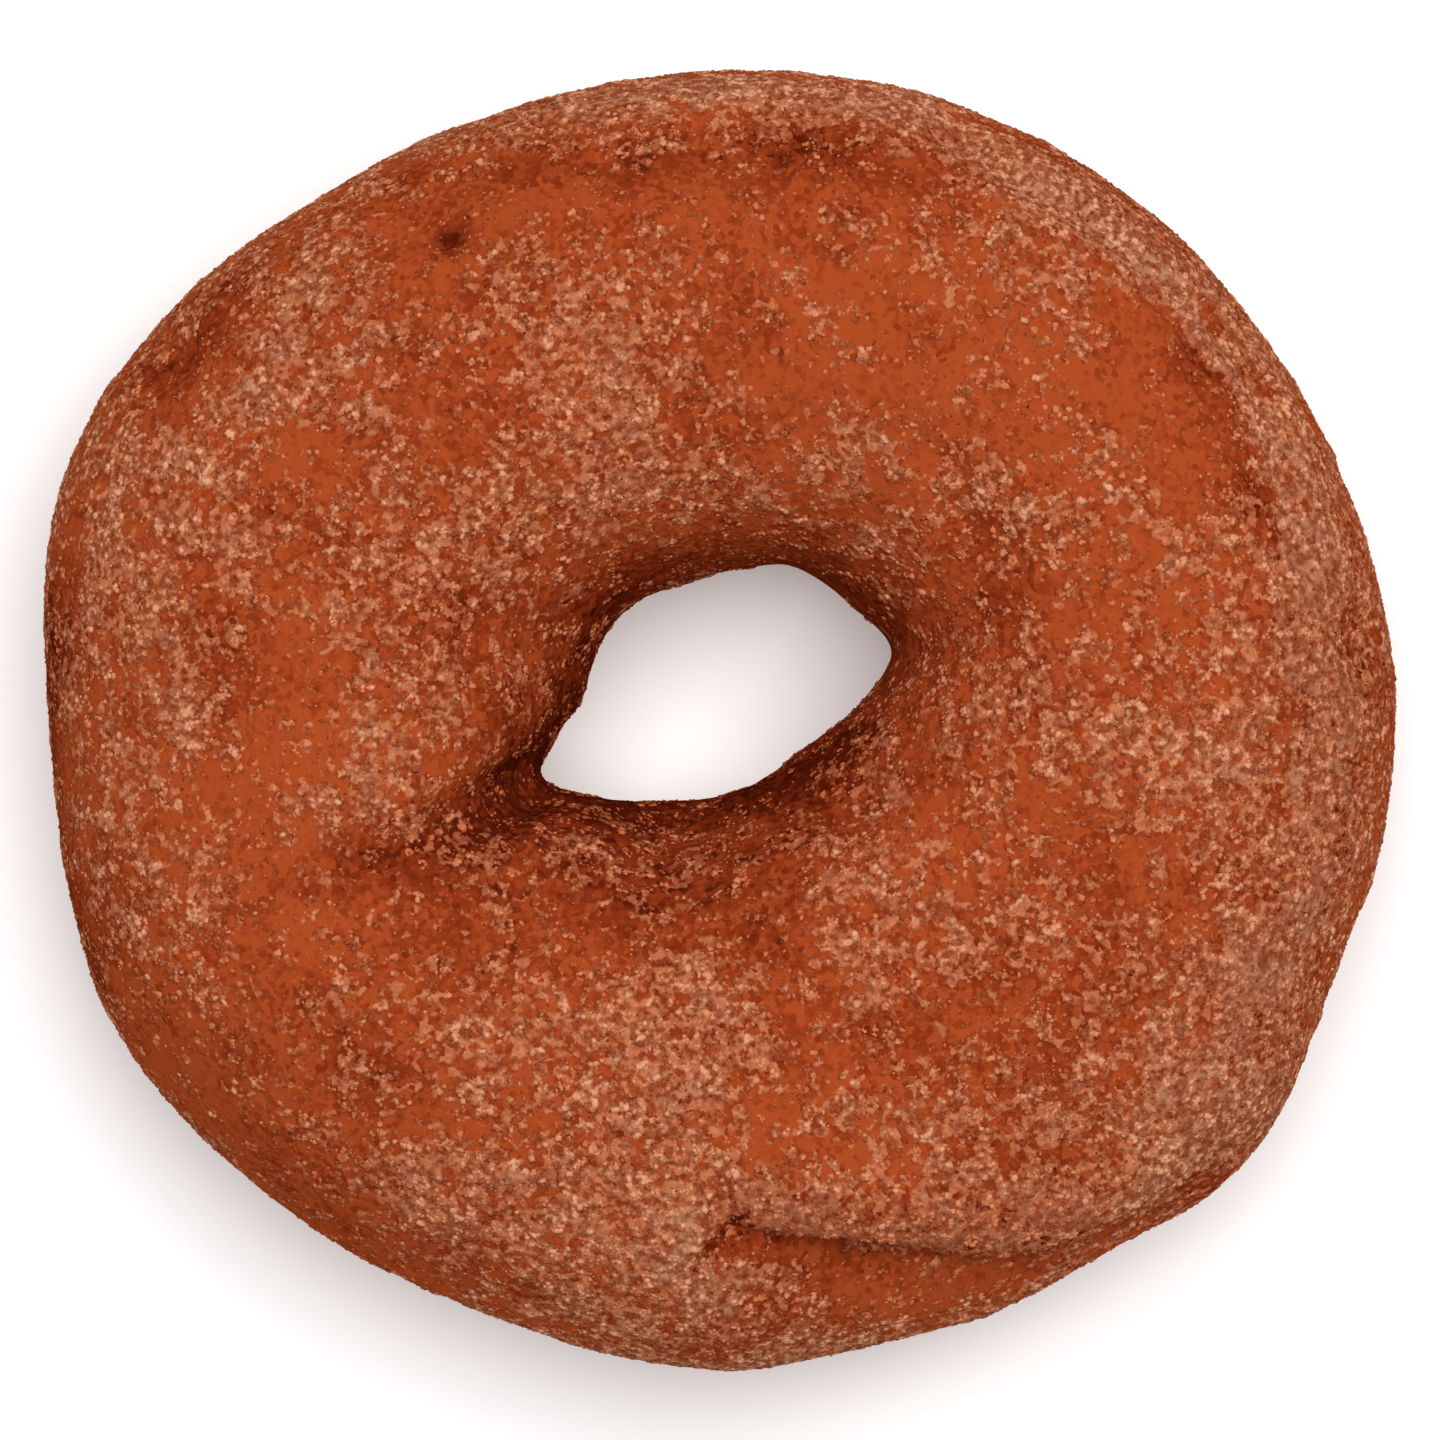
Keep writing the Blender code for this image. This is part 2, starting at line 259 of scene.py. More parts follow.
# How far the dough is darkened from orange, from 0 to 1, in the same way: the usual amount and the waves are
# toasting, and the patches are mostly painted shade and painted light, marked one by one
TOAST_USUAL = 0.12
TOAST_WAVES = ((12.0, 0.3), (5.0, 0.25))
# Painted shade: how much darker creases are painted for each millimetre of their depth
PAINTED_SHADE_IN_CREASES = 0.15
TOAST_AND_SHADE_PATCHES = {
    # Painted shade: these darken the dough round the hole and below it, where its walls lie in shade
    "hole_top": Patch(HOLE_TOP, 6.5, 0.02),
    "hole_left": Patch(HOLE_LEFT, 6.8, 0.6),
    "hole_right": Patch(HOLE_RIGHT, 7.5, 0.45),
    "hole_bottom": Patch(HOLE_BOTTOM, 6.0, 0.16),
    "below_hole": Patch(((-12.0, -9.0), (-5.0, -10.0), (1.0, -13.0)), 5.0, 0.36),
    # Painted shade in the crease from the hole's corner
    "left_crease": Patch(((-15.0, -6.0), (-20.4, -8.8), (-26.6, -10.7)), 2.4, 0.25),
    # Painted shade along the crease at the top, and in the pit
    "top_band": Patch(((-20.0, 36.0), (-8.0, 38.0), (5.0, 38.6), (16.0, 36.4)), 2.8, 0.3),
    "top_pit": Patch((TOP_PIT,), 1.5, 0.8),
    # Darker at the dent at the upper left
    "far_left": Patch(((-38.0, 23.0), (-35.0, 27.0)), 3.6, 0.5),
    # Painted shade by the ledge and the dent at the upper right
    "right_top": Patch(((32.4, 23.4), (36.0, 15.6)), 2.8, 0.25),
    # Painted shade along the left side, which faces away from the lamp
    "left_edge": Patch(((-45.0, 8.0), (-45.4, -4.0), (-43.0, -16.0)), 3.4, 0.5),
    # Painted light: lightens the lower left side, which faces away from the lamp
    "low_left_edge": Patch(((-37.6, -24.0), (-30.0, -32.6), (-20.4, -38.2), (-10.0, -42.0)), 3.4, -0.2),
    # Painted shade in the fold's hook
    "hook": Patch(((1.1, -33.4), (-0.4, -35.0), (-1.6, -37.0)), 0.8, 0.25),
    "left_of_hole": Patch(((-17.4, 6.4), (-15.0, 1.0)), 3.4, 0.25),
    # Painted light: lightens the dough just below the hole, against the shade there
    "hole_low": Patch(((-2.0, -6.6), (2.0, -6.6)), 3.0, -0.45),
    # Painted shade by the hole, at its lower right and in its corner
    "hole_low_right": Patch(((4.0, -4.6), (9.0, -1.4)), 3.0, 0.45),
    "hole_corner": Patch(((-12.0, -3.8), (-7.6, -5.2)), 3.4, 0.9),
    # Painted shade on the lip, where it turns down from the lamp
    "lip": Patch(((2.6, -32.4), (13.0, -33.6), (24.0, -32.6)), 2.2, 0.65),
    "right_low_side": Patch(((40.6, 6.6), (42.0, -2.0), (40.0, -12.0), (36.0, -20.0)), 4.0, 0.3),
    # Painted shade under the fold's lip
    "under_lip": Patch(((2.6, -35.4), (8.0, -36.8), (17.6, -37.0), (23.0, -35.6)), 2.3, 0.16),
}

# Colours of crust and coating, as sRGB numbers up to 255
DOUGH_ORANGE = (166, 71, 33)
DOUGH_BROWN = (134, 49, 20)
# The dark dough shows mostly where toast and painted shade are strongest, as on the hole's walls
DOUGH_DARK = (84, 24, 8)
DUST_TAN = (198, 118, 79)
DUST_PALE = (188, 132, 98)
DUST_BROWN = (127, 50, 25)
# Grains on thinly coated and toasted dough, and grains in painted shade, take this colour
SOAKED_AND_SHADED_GRAIN = (200, 104, 58)

# Sizes of the blots in the dough and in the dust that is too fine to be grains, and of the dust's specks
DOUGH_BLOTS = 2.4
DUST_BLOTS = 0.62
DUST_SPECKS = 0.42
DUST_GRIT = 0.32

# How brown the dough looks: a start, to which toast and painted shade are added, and the shares of the
# coating's cinnamon, the dough's blots, and the dust's blots and specks
BROWNING_START = -0.9
CINNAMON_IN_COATING = 0.5
BROWNING_BY_DOUGH_BLOTS = 0.7
BROWNING_BY_DUST_BLOTS = 0.55
BROWNING_BY_SPECKS = 0.55
BROWN_RANGE = (0.0, 0.6)
DARK_RANGE = (0.5, 1.1)

# Where dust hides the dough: a start, to which the share of sugar is added, and the shares of the dust's
# blots and specks
DUST_START = -1.1
DUST_BY_BLOTS = 1.54
DUST_BY_SPECKS = 0.66
DUST_RANGE = (0.38, 0.7)

# How pale the dust is: the shares of its grit and blots, and how much of that toast and painted shade take
# away
PALENESS_BY_GRIT = 0.55
PALENESS_BY_BLOTS = 0.5
PALENESS_RANGE = (0.35, 0.65)
PALENESS_LOST_TO_TOAST_AND_SHADE = 0.5
FULL_COATING_RANGE = (0.8, 1.3)

# Roughness of bare dough and what a full coating adds, and how high and strongly the dust stands out
DOUGH_ROUGHNESS = 0.5
COATING_ROUGHNESS = 0.35
DUST_RELIEF = 0.12
DUST_RELIEF_STRENGTH = 0.6
GRIT_RELIEF_SHARE = 0.5

# Grains: shape, number, least and greatest size, pale and deep colour, roughness, seed of their random draws
Grains = namedtuple("Grains", "shape count size pale deep roughness seed")
GRAINS = {
    "sugar_crystals": Grains("box", 16000, (0.32, 0.52), (224, 162, 124), (146, 68, 36), 0.5, 11),
    "sugar_pale": Grains("eight", 24600, (0.32, 0.54), (220, 156, 118), (144, 66, 35), 0.5, 12),
    "sugar_amber": Grains("eight", 24600, (0.32, 0.54), (204, 128, 88), (138, 59, 29), 0.5, 13),
    "sugar_fine": Grains("eight", 20000, (0.24, 0.38), (216, 154, 118), (144, 67, 36), 0.5, 15),
    "cinnamon": Grains("eight", 6000, (0.2, 0.36), (150, 68, 36), (112, 42, 20), 0.8, 14),
}

# Where grains lie: the share strewn on bare dough, the share on what faces down, and how they clump
STRAY_GRAINS = 0.1
GRAINS_BELOW = 0.6
GRAINS_A_CLUMP = 4
CLUMP_RADIUS = 0.34

# Grains are left out where other crust lies over them, from this gap above a place up to this height
CREVICE_GAP = 0.3
CREVICE_HEIGHT = 5.0

# How a grain lies: each of its sides against its size, how flat it is, its tilt, and how far it is lifted, as
# a share of its height
GRAIN_PROPORTIONS = (0.75, 1.25)
GRAIN_FLATNESS = 0.31
GRAIN_TILT = 0.12
GRAIN_LIFT = (-0.05, 0.2)

# How pale grains are: the least, on bare dough, and what toast and painted shade on the dough take away,
# which paints the shade on the grains too. How stained they are: each grain's own share, and where the stains
# start and are full
PALE_LEAST = 0.3
PALE_LOST_TO_TOAST_AND_SHADE = 0.7
OWN_TONE_SHARE = 0.2
STAIN_RANGE = (0.42, 0.64)

# Margin round each grain's square on the map that its colour bakes through
MAP_MARGIN = 0.15

# The camera looks straight down, as in the photo, whose frame is square
PHOTO_SIDE = 1440
PHOTO_PX_PER_MM = 14.67
CAMERA_HEIGHT = 0.6
SENSOR = 0.036

# Floor, one large lamp and an even surround, with colours as a shader takes them
WHITE = (1, 1, 1, 1)
FLOOR_SIDE = 3.0
FLOOR_BLOTS = 40.0
FLOOR_COLOURS = ((0.9, 0.9, 0.9, 1), (0.93, 0.93, 0.93, 1))
FLOOR_ROUGHNESS = 0.9
FLOOR_SPECULAR = 0.2
FLOOR_GLOW = 0.16
KEY_PLACE = (0.1, 0.2, 1.1)
KEY_SIDE = 0.9
KEY_POWER = 14.0
SKY_STRENGTH = 0.23


def cubic(start, end, first, last, t):
    """A curve from start to end that leaves with slope first and arrives with slope last."""
    rise = end - start
    return start + t * (first + t * (3 * rise - 2 * first - last + t * (first + last - 2 * rise)))


def round_curve(points, angle):
    """Value at each angle of a closed smooth curve through (angle, value) points."""
    degrees, values = np.array(points, float).T
    before, after = np.roll(np.arange(len(values)), 1), np.roll(np.arange(len(values)), -1)
    slopes = (values[after] - values[before]) / ((degrees[after] - degrees[before]) % 360)
    turn = (np.degrees(angle) - degrees[0]) % 360
    start = np.searchsorted(degrees - degrees[0], turn, side="right") - 1
    end = after[start]
    gap = (degrees[end] - degrees[start]) % 360
    t = (turn + degrees[0] - degrees[start]) / gap
    return cubic(values[start], values[end], slopes[start] * gap, slopes[end] * gap, t)


def swell_at(swells, angle):
    """Sum of slow waves round the ring."""
    return sum(height * np.cos(waves * (angle - math.radians(top))) for waves, height, top in swells)


def crown_at(angle):
    """Height of the plain ring's top, which is CROWN_HEIGHT where all its waves are at their highest."""
    return CROWN_HEIGHT - sum(height for _, height, _ in CROWN_SWELL) + swell_at(CROWN_SWELL, angle)


def ring_points(angle, section):
    """Points of the plain ring. The section angle is 0 at the outline, 90 on the crown, 180 in the hole."""
    outer, inner = round_curve(OUTLINE, angle), round_curve(HOLE, angle)
    across = np.sign(np.cos(section)) * np.abs(np.cos(section)) ** (2 / SECTION_POWER)
    up = np.abs(np.sin(section)) ** (2 / SECTION_POWER)
    reach = (outer + inner) / 2 + across * (outer - inner) / 2
    waist = WAIST_HEIGHT + swell_at(WAIST_SWELL, angle)
    top = waist + (crown_at(angle) - waist) * up
    bottom = np.maximum(waist - (waist + BASE_SINK) * up, 0)
    height = np.where(np.sin(section) >= 0, top, bottom)
    x = HOLE_CENTRE[0] + reach * np.cos(angle)
    y = HOLE_CENTRE[1] + reach * np.sin(angle)
    return np.stack([x, y, height], -1)


def on_top(plan):
    """The points of the plain ring's upper side that lie over plan points."""
    offset = np.asarray(plan, float) - HOLE_CENTRE
    angle = np.arctan2(offset[..., 1], offset[..., 0])
    outer, inner = round_curve(OUTLINE, angle), round_curve(HOLE, angle)
    across = (2 * np.hypot(offset[..., 0], offset[..., 1]) - outer - inner) / (outer - inner)
    across = np.clip(across, -1, 1)
    section = np.arccos(np.sign(across) * np.abs(across) ** (SECTION_POWER / 2))
    return ring_points(angle, section)


def smooth_path(points, steps=8):
    """Plan points along a smooth open curve through the given ones."""
    points = np.array(points, float)
    if len(points) == 1:
        return points
    slopes = np.gradient(points, axis=0)
    t = np.linspace(0, 1, steps, endpoint=False)[None, :, None]
    curve = cubic(points[:-1, None], points[1:, None], slopes[:-1, None], slopes[1:, None], t)
    return np.vstack([curve.reshape(-1, 2), points[-1:]])


def nearest(points, path):
    """Distance to the nearest point of a path laid on the ring, and that point's place from 0 to 1."""
    line = on_top(smooth_path(path))
    least = np.full(points.shape[:-1], np.inf)
    index = np.zeros(points.shape[:-1], int)
    for i, place in enumerate(line):
        square = ((points - place) ** 2).sum(-1)
        closer = square < least
        least[closer] = square[closer]
        index[closer] = i
    return np.sqrt(least), index / max(len(line) - 1, 1)


def ease(t):
    """A smooth step from 0 to 1."""
    return t * t * (3 - 2 * t)


def bell(distance, half_width):
    """1 at no distance, and fading smoothly to either side."""
    return np.exp(-((distance / half_width) ** 2))


def crease_relief(points):
    """Shift out of the crust by all creases and dents, negative where they sink it."""
    relief = np.zeros(points.shape[:-1])
    for crease in CREASES.values():
        distance, along = nearest(points, crease.path)
        relief -= np.interp(along, (0, 1), crease.depths) * bell(distance, crease.half_width)
    for dent in DENTS.values():
        relief -= dent.depth * bell(np.linalg.norm(points - on_top(dent.place), axis=-1), dent.half_width)
    return relief


def fold_section_angle(angle):
    """Section angle of the fold's line, which every row of the grid keeps as one of its columns."""
    return np.radians(round_curve(FOLD_LINE, angle))


def fold_strength(angle):
    """0 away from the fold, rising smoothly to 1 along it."""
    return ease(np.interp(np.degrees(angle) % 360, FOLD_ENDS, (0, 1, 1, 0)))


def fold_shift(distance):
    """Shift out of the crust and down the section, by distance down the section from the fold's line."""
    mouth = np.clip(distance / FOLD_MOUTH, 0, 1)
    past = np.maximum(distance - FOLD_MOUTH, 0)
    lip = LIP_HEIGHT * bell(distance + LIP_SET_BACK, LIP_HALF_WIDTH)
    outward = lip - FOLD_DROP * ease(mouth) * np.exp(-((past / LOBE_REACH) ** 2))
    back = np.minimum(distance, 0)
    downward = LIP_OVERHANG * (1 - 2 * mouth) * bell(back, LIP_HALF_WIDTH) * np.exp(-past / FOLD_MOUTH)
    return outward, downward


def surface_frame(grid):
    """Unit directions out of a closed grid of points, and down its section towards the outline."""
    around = np.roll(grid, -1, axis=0) - np.roll(grid, 1, axis=0)
    over = np.roll(grid, -1, axis=1) - np.roll(grid, 1, axis=1)
    normals = np.cross(around, over)
    normals /= np.linalg.norm(normals, axis=-1, keepdims=True)
    return normals, -over / np.linalg.norm(over, axis=-1, keepdims=True)


def grid_angles():
    """Ring angle and section angle of each point, closer together along the fold."""
    even = np.linspace(0, 2 * np.pi, AROUND, endpoint=False)
    middle = math.radians(sum(FOLD_ENDS) / len(FOLD_ENDS))
    angle = (even - FOLD_CROWDING * np.sin(even - middle))[:, None]
    fold = fold_section_angle(angle)
    to_fold = np.linspace(0, 1, OVER_TO_FOLD, endpoint=False) * fold
    from_fold = fold + np.linspace(0, 1, OVER - OVER_TO_FOLD, endpoint=False) * (np.pi - fold)
    under = np.linspace(np.pi, 2 * np.pi, UNDER, endpoint=False) + 0 * fold
    return angle, np.concatenate([to_fold, from_fold, under], axis=1)


def waves(points, scales, seed):
    """Sum of smooth random waves, each given as its size and its height."""
    total = np.zeros(points.shape[:-1])
    for number, (size, height) in enumerate(scales):
        shifted = (points / size + WAVE_SEED_STEP * seed + WAVE_NUMBER_STEP * number).reshape(-1, 3)
        values = [noise.noise(place) for place in shifted.tolist()]
        total += height * np.reshape(values, total.shape)
    return total


def spread(points, usual, scales, patches, seed):
    """A share at each point, from 0 to FULLEST: the usual one, random waves and named patches."""
    share = usual + waves(points, scales, seed)
    for patch in patches.values():
        share += patch.amount * bell(nearest(points, patch.path)[0], patch.half_width)
    return np.clip(share, 0, FULLEST)


def crust_surface():
    """The fine crust's points and outward directions, and the share of sugar and of toasting and painted
    shade at each.
    """
    angle, section = grid_angles()
    plain = ring_points(angle, section)
    normals, down = surface_frame(plain)
    above_waist = plain[..., 2] - WAIST_HEIGHT
    creases = crease_relief(plain) * ease(np.clip(above_waist / RELIEF_FADE, 0, 1))
    steps = np.linalg.norm(np.diff(plain, axis=1, prepend=plain[:, :1]), axis=-1)
    run = np.cumsum(steps, axis=1)
    outward, downward = fold_shift(run[:, OVER_TO_FOLD, None] - run)
    strength = fold_strength(angle) * ease(np.clip(above_waist / FOLD_FADE, 0, 1))
    sugar = spread(plain, SUGAR_USUAL, SUGAR_WAVES, SUGAR_PATCHES, seed=2)
    toast = spread(plain, TOAST_USUAL, TOAST_WAVES, TOAST_AND_SHADE_PATCHES, seed=3)
    fine = waves(plain, CRUST_WAVES, seed=1) + SUGAR_CAKE * sugar
    fine *= ease(np.clip(plain[..., 2] / FOOT_FADE, 0, 1))
    relief = creases + outward * strength + fine - COAT
    points = plain + normals * relief[..., None] + down * (downward * strength)[..., None]
    points[..., 2] = np.maximum(points[..., 2], COAT)
    # Painted shade: creases are painted darker by their depth
    toast = np.clip(toast - PAINTED_SHADE_IN_CREASES * creases, 0, 1)
    return Surface(points, surface_frame(points)[0], sugar, toast)


def linear(colour):
    """sRGB numbers up to 255 as the linear colour that a shader takes."""
    parts = [c / 255 for c in colour]
    return (*(c / 12.92 if c <= 0.04045 else ((c + 0.055) / 1.055) ** 2.4 for c in parts), 1.0)


class Nodes:
    """Short ways to add shader nodes to one material and link them."""

    def __init__(self, name, **constants):
        self.material = bpy.data.materials.new(name)
        self.material.use_nodes = True
        self.tree = self.material.node_tree
        self.shader = self.tree.nodes["Principled BSDF"]
        for socket, value in constants.items():
            self.shader.inputs[socket.replace("_", " ")].default_value = value

    def add(self, kind, inputs=(), **settings):
        """A node with its settings, and its inputs linked to sockets or set to values."""
        node = self.tree.nodes.new(kind)
        for key, value in settings.items():
            setattr(node, key, value)
        for socket, value in dict(inputs).items():
            if isinstance(value, bpy.types.NodeSocket):
                self.tree.links.new(value, node.inputs[socket])
            else:
                node.inputs[socket].default_value = value
        return node

    def noise(self, size_mm, detail=2.0):
        """Random waves of a size in millimetres, in the piece's own space."""
        place = self.add("ShaderNodeTexCoord").outputs["Object"]
        inputs = {"Vector": place, "Scale": 1 / (size_mm * MM), "Detail": detail}
        return self.add("ShaderNodeTexNoise", inputs).outputs["Fac"]

    def specks(self, size_mm):
        """Two random numbers from 0 to 1 for each speck of a fine mosaic, in the piece's own space."""
        place = self.add("ShaderNodeTexCoord").outputs["Object"]
        cells = self.add("ShaderNodeTexVoronoi", {"Vector": place, "Scale": 1 / (size_mm * MM)})
        own = self.add("ShaderNodeSeparateColor", {"Color": cells.outputs["Color"]})
        return own.outputs[0], own.outputs[1]

    def ramp(self, value, limits):
        """0 below the lower limit, 1 above the upper one, smooth between."""
        inputs = {"Value": value, "From Min": limits[0], "From Max": limits[1]}
        return self.add("ShaderNodeMapRange", inputs, interpolation_type="SMOOTHSTEP").outputs[0]

    def math(self, operation, *values):
        return self.add("ShaderNodeMath", dict(enumerate(values)), operation=operation).outputs[0]

    def weighted(self, start, *parts):
        """A start value plus each part's value times its weight."""
        total = start
        for value, weight in parts:
            total = self.math("MULTIPLY_ADD", value, weight, total)
        return total

    def mix(self, amount, first, second):
        """The first colour where the amount is 0, and the second where it is 1."""
        return self.add("ShaderNodeMix", {0: amount, 6: first, 7: second}, data_type="RGBA").outputs[2]

    def attribute(self, name):
        """The number that each point of the piece has under a name."""
        return self.add("ShaderNodeAttribute", attribute_name=name).outputs["Fac"]

    def link(self, output, socket):
        """Links an output to one of the shader's own sockets."""
        self.tree.links.new(output, self.shader.inputs[socket])


def dough_colour(n, sugar, toast, blot, speck):
    """Orange to red-brown, darker where it is toasted, where painted shade lies, and where cinnamon has
    soaked in.
    """
    browning_and_shade = n.weighted(
        BROWNING_START,
        (toast, 1.0),
        (sugar, CINNAMON_IN_COATING),
        (n.noise(DOUGH_BLOTS, detail=3.0), BROWNING_BY_DOUGH_BLOTS),
        (blot, BROWNING_BY_DUST_BLOTS),
        (speck, BROWNING_BY_SPECKS),
    )
    dough = n.mix(n.ramp(browning_and_shade, BROWN_RANGE), linear(DOUGH_ORANGE), linear(DOUGH_BROWN))
    return n.mix(n.ramp(browning_and_shade, DARK_RANGE), dough, linear(DOUGH_DARK))


def dust_colour(n, sugar, toast, blot):
    """Brown to tan, paler where the coating is thickest, and less pale where toast and painted shade lie."""
    patchy = n.ramp(blot, PALENESS_RANGE)
    paleness = n.weighted(0.0, (n.specks(DUST_GRIT)[0], PALENESS_BY_GRIT), (patchy, PALENESS_BY_BLOTS))
    paleness = n.math("MULTIPLY", paleness, n.weighted(1.0, (toast, -PALENESS_LOST_TO_TOAST_AND_SHADE)))
    palest = n.mix(n.ramp(sugar, FULL_COATING_RANGE), linear(DUST_TAN), linear(DUST_PALE))
    return n.mix(paleness, linear(DUST_BROWN), palest)


def crust_material():
    """Fried dough under fine sugar and cinnamon, which hide it where the coating lies."""
    n = Nodes("crust", Specular_IOR_Level=0.0)
    sugar, toast = n.attribute("sugar"), n.attribute("toast")
    blot = n.noise(DUST_BLOTS, detail=1.0)
    chance, speck = n.specks(DUST_SPECKS)
    hidden = n.weighted(DUST_START, (sugar, 1.0), (blot, DUST_BY_BLOTS), (chance, DUST_BY_SPECKS))
    dough, dust = dough_colour(n, sugar, toast, blot, speck), dust_colour(n, sugar, toast, blot)
    n.link(n.mix(n.ramp(hidden, DUST_RANGE), dough, dust), "Base Color")
    n.link(n.weighted(DOUGH_ROUGHNESS, (sugar, COATING_ROUGHNESS)), "Roughness")
    height = n.weighted(blot, (n.noise(DUST_GRIT, detail=0.0), GRIT_RELIEF_SHARE))
    relief = {"Height": height, "Strength": DUST_RELIEF_STRENGTH, "Distance": DUST_RELIEF * MM}
    n.link(n.add("ShaderNodeBump", relief).outputs[0], "Normal")
    return n.material


def grain_material(name, grains):
    """Each grain has its own tone, stained in broad waves, and it is soaked amber on thinly coated dough, on
    toasted dough and where painted shade lies.
    """
    n = Nodes(name, Roughness=grains.roughness, Specular_IOR_Level=0.0)
    own = n.add("ShaderNodeNewGeometry").outputs["Random Per Island"]
    stain = n.ramp(n.noise(DUST_BLOTS, detail=1.0), STAIN_RANGE)
    tone = n.weighted(0.0, (own, OWN_TONE_SHARE), (stain, 1 - OWN_TONE_SHARE))
    pale = n.mix(n.attribute("paleness"), linear(SOAKED_AND_SHADED_GRAIN), linear(grains.pale))
    n.link(n.mix(tone, linear(grains.deep), pale), "Base Color")
    return n.material


def mesh_of(name, points, faces, smooth):
    """A mesh piece from points in millimetres and faces that all have the same number of corners."""
    mesh = bpy.data.meshes.new(name)
    corners = faces.shape[1]
    mesh.vertices.add(len(points))
    mesh.vertices.foreach_set("co", (points * MM).astype(np.float32).ravel())
    mesh.loops.add(faces.size)
    mesh.loops.foreach_set("vertex_index", faces.astype(np.int32).ravel())
    mesh.polygons.add(len(faces))
    mesh.polygons.foreach_set("loop_start", np.arange(len(faces), dtype=np.int32) * corners)
    mesh.update(calc_edges=True)
    mesh.validate()
    if smooth:
        mesh.shade_smooth()
    piece = bpy.data.objects.new(name, mesh)
    bpy.context.collection.objects.link(piece)
    return piece


def set_map(piece, places):
    """Gives the piece the map its colours bake through, one place for each face corner."""
    layer = piece.data.uv_layers.new(name="OFBake")
    layer.uv.foreach_set("vector", places.astype(np.float32).ravel())


def set_attribute(piece, name, values):
    """Gives each point of a piece a number that its material reads by name."""
    layer = piece.data.attributes.new(name, "FLOAT", "POINT")
    layer.data.foreach_set("value", values.astype(np.float32).ravel())


def grid_faces(rows, columns):
    """Faces of a closed grid, and each face corner's place as row and column, which run on past the seam."""
    row, column = np.mgrid[0:rows, 0:columns]
    steps = ((0, 0), (1, 0), (1, 1), (0, 1))
    places = np.stack([np.stack([row + i, column + j], -1) for i, j in steps], 2).reshape(-1, 4, 2)
    faces = (places[..., 0] % rows) * columns + places[..., 1] % columns
    return faces, places / (rows, columns)


def make_crust(surface):
    """The crust, and a tree of its faces to find the nearest place on it."""
    faces, places = grid_faces(*surface.sugar.shape)
    points = surface.points.reshape(-1, 3)
    crust = mesh_of("crust", points, faces, smooth=True)
    set_map(crust, places)
    set_attribute(crust, "sugar", surface.sugar)
    set_attribute(crust, "toast", surface.toast)
    crust.data.materials.append(crust_material())
    return crust, BVHTree.FromPolygons(points.tolist(), faces.tolist())


SQUARE = np.array([(-0.5, -0.5), (0.5, -0.5), (0.5, 0.5), (-0.5, 0.5)])

# Whole shapes one unit across: a leaning sugar crystal that narrows to its top, and one of eight faces
BOX_TOP = 0.62
BOX_LEAN = (0.05, -0.04)
BOX_POINTS = np.array([
    (x * side + BOX_LEAN[0] * z, y * side + BOX_LEAN[1] * z, z)
    for z, side in ((-0.5, 1.0), (0.5, BOX_TOP))
    for x, y in SQUARE
])
BOX_FACES = np.array([(3, 2, 1, 0), (4, 5, 6, 7), (0, 1, 5, 4), (1, 2, 6, 5), (2, 3, 7, 6), (3, 0, 4, 7)])
EIGHT_POINTS = np.array([
    (0.56, 0, -0.5), (0, 0.5, -0.5), (-0.5, 0.1, -0.5), (0.1, -0.56, -0.5),
    (0.2, 0.12, 0.5), (-0.14, -0.1, 0.44),
])
EIGHT_FACES = np.array([
    (0, 1, 4), (1, 2, 4), (2, 5, 4), (2, 3, 5), (3, 0, 5), (0, 4, 5), (2, 1, 0), (3, 2, 0),
])
SHAPES = {"box": (BOX_POINTS, BOX_FACES), "eight": (EIGHT_POINTS, EIGHT_FACES)}


def lying(rng, outward):
    """Rotations that lay a grain on the crust, turned at random and tilted a little."""
    up = outward + rng.normal(size=outward.shape) * GRAIN_TILT
    up /= np.linalg.norm(up, axis=1, keepdims=True)
    side = np.cross(up, rng.normal(size=up.shape))
    side /= np.linalg.norm(side, axis=1, keepdims=True)
    return np.stack([side, np.cross(up, side), up], 2)


def sheltered(place, normal, tree):
    """Whether a place on the upper side lies in a crevice, close under another part of the crust."""
    start = place + normal * CREVICE_GAP
    return place.z > WAIST_HEIGHT and tree.ray_cast(start, (0, 0, 1), CREVICE_HEIGHT)[0] is not None


def clump_cells(surface, ahead, along, count, rng):
    """Cells of the crust's grid for the clumps, drawn by area and by how much sugar lies there."""
    area = np.linalg.norm(np.cross(ahead, along), axis=-1)
    below = np.where(surface.normals[..., 2] < 0, GRAINS_BELOW, 1)
    weight = area * (STRAY_GRAINS + np.minimum(surface.sugar, 1)) * below
    cells = rng.choice(weight.size, size=count // GRAINS_A_CLUMP, p=(weight / weight.sum()).ravel())
    return np.repeat(cells, GRAINS_A_CLUMP)


def scatter(surface, tree, count, rng):
    """Places for grains in small clumps, with the outward direction and the grid's cell at each."""
    grid = surface.points
    ahead, along = np.roll(grid, -1, axis=0) - grid, np.roll(grid, -1, axis=1) - grid
    cells = clump_cells(surface, ahead, along, count, rng)
    corner, ahead, along, outward = (
        values.reshape(-1, 3)[cells] for values in (grid, ahead, along, surface.normals)
    )
    across, over = rng.random((2, len(cells), 1))
    spot = corner + across * ahead + over * along
    step = rng.normal(size=spot.shape) * CLUMP_RADIUS
    step -= outward * np.einsum("ij,ij->i", step, outward)[:, None]
    found = [tree.find_nearest(place) for place in (spot + step).tolist()]
    found = [(place, normal, cell) for place, normal, cell, _ in found if not sheltered(place, normal, tree)]
    return [np.array(values) for values in zip(*found)]


